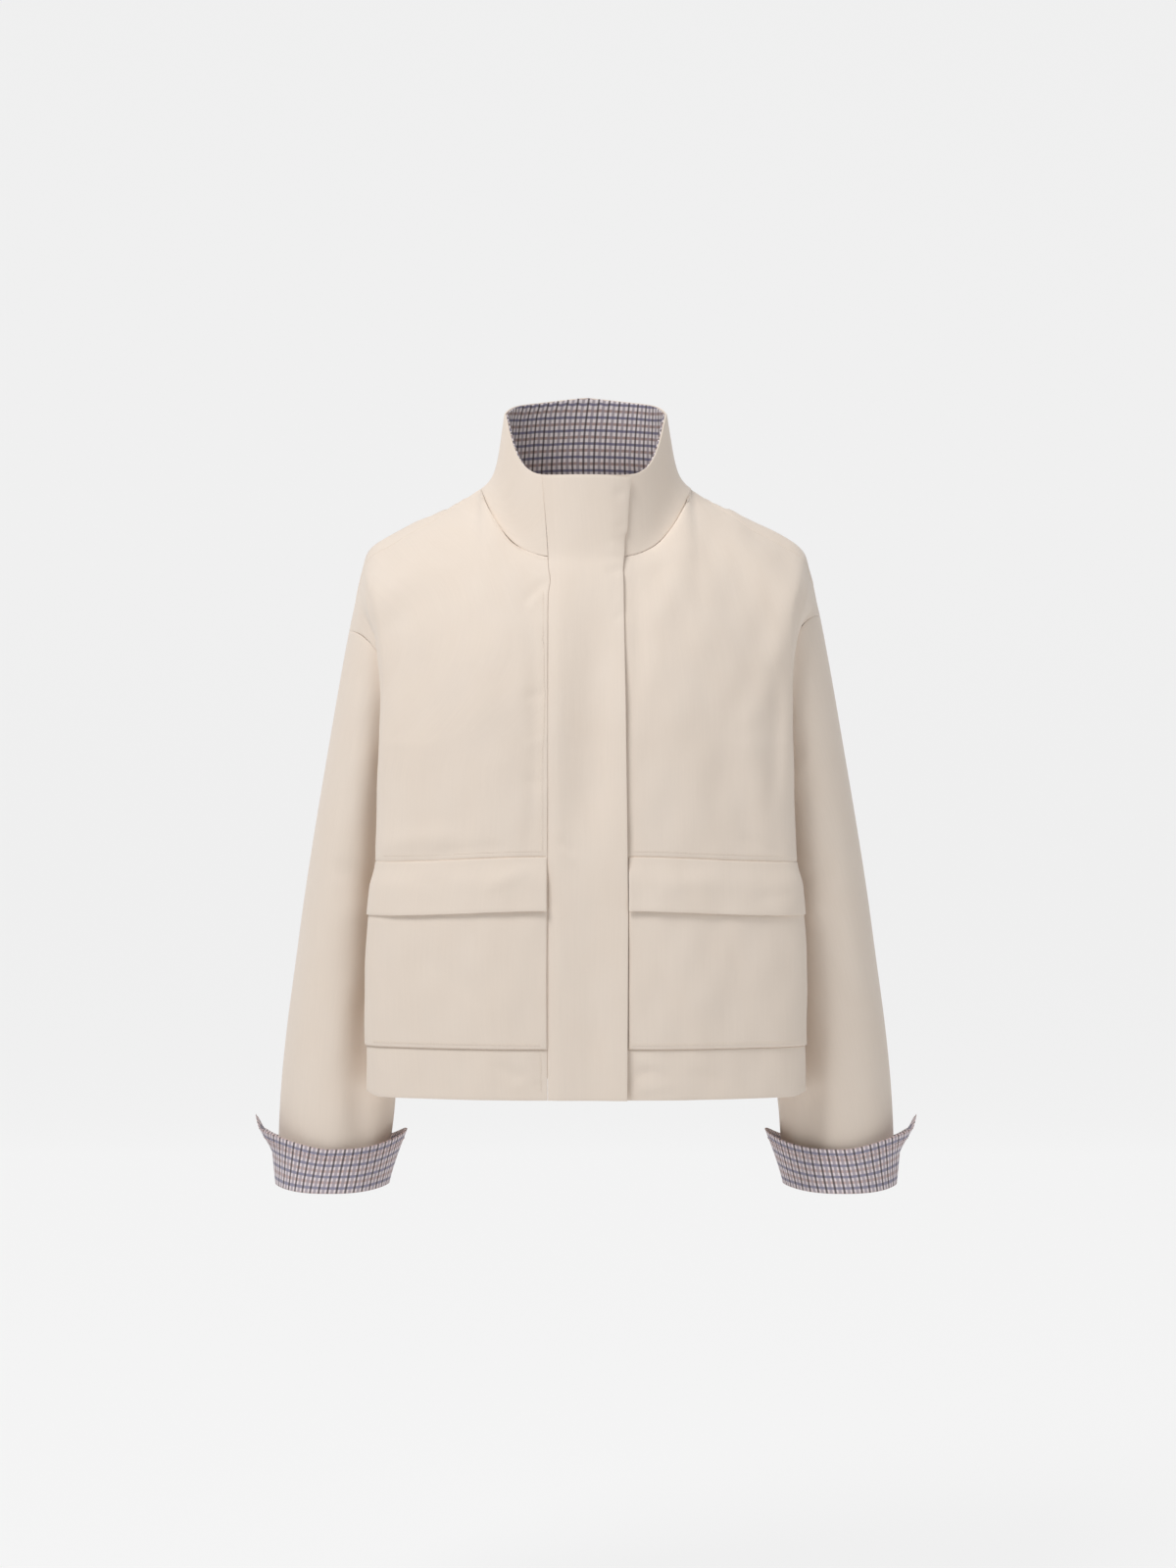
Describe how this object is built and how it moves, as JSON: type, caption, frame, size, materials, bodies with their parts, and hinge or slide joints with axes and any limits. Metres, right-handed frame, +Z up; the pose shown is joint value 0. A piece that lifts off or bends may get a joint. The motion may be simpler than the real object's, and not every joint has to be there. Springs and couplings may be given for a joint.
{
  "type": "jacket",
  "caption": "Cropped boxy jacket with a tall stand collar, hidden front closing, patch pockets with flaps and turned-back check cuffs, worn and hollow.",
  "frame": {"origin": "midway between the two points where the shoulder seams meet the neck, where the wearer's shoulders hold the jacket", "axes": "+Z up the wearer's spine, the front faces -Y, +X is the wearer's left"},
  "size_m": [0.618, 0.2354, 0.7475],
  "materials": {
    "cream_cotton": "matte",
    "check_lining": "matte"
  },
  "bodies": {
    "root": {"front_left": "cream_cotton", "front_right": "cream_cotton", "back": "cream_cotton", "hem_band_front_left": "cream_cotton", "hem_band_front_right": "cream_cotton", "hem_band_back": "cream_cotton", "sleeve_left": "cream_cotton", "sleeve_right": "cream_cotton", "collar": "cream_cotton", "placket": "cream_cotton", "pocket_left": "cream_cotton", "pocket_right": "cream_cotton", "flap_left": "cream_cotton", "flap_right": "cream_cotton", "collar_lining": "check_lining", "cuff_left": "check_lining", "cuff_right": "check_lining"}
  },
  "joints": []
}
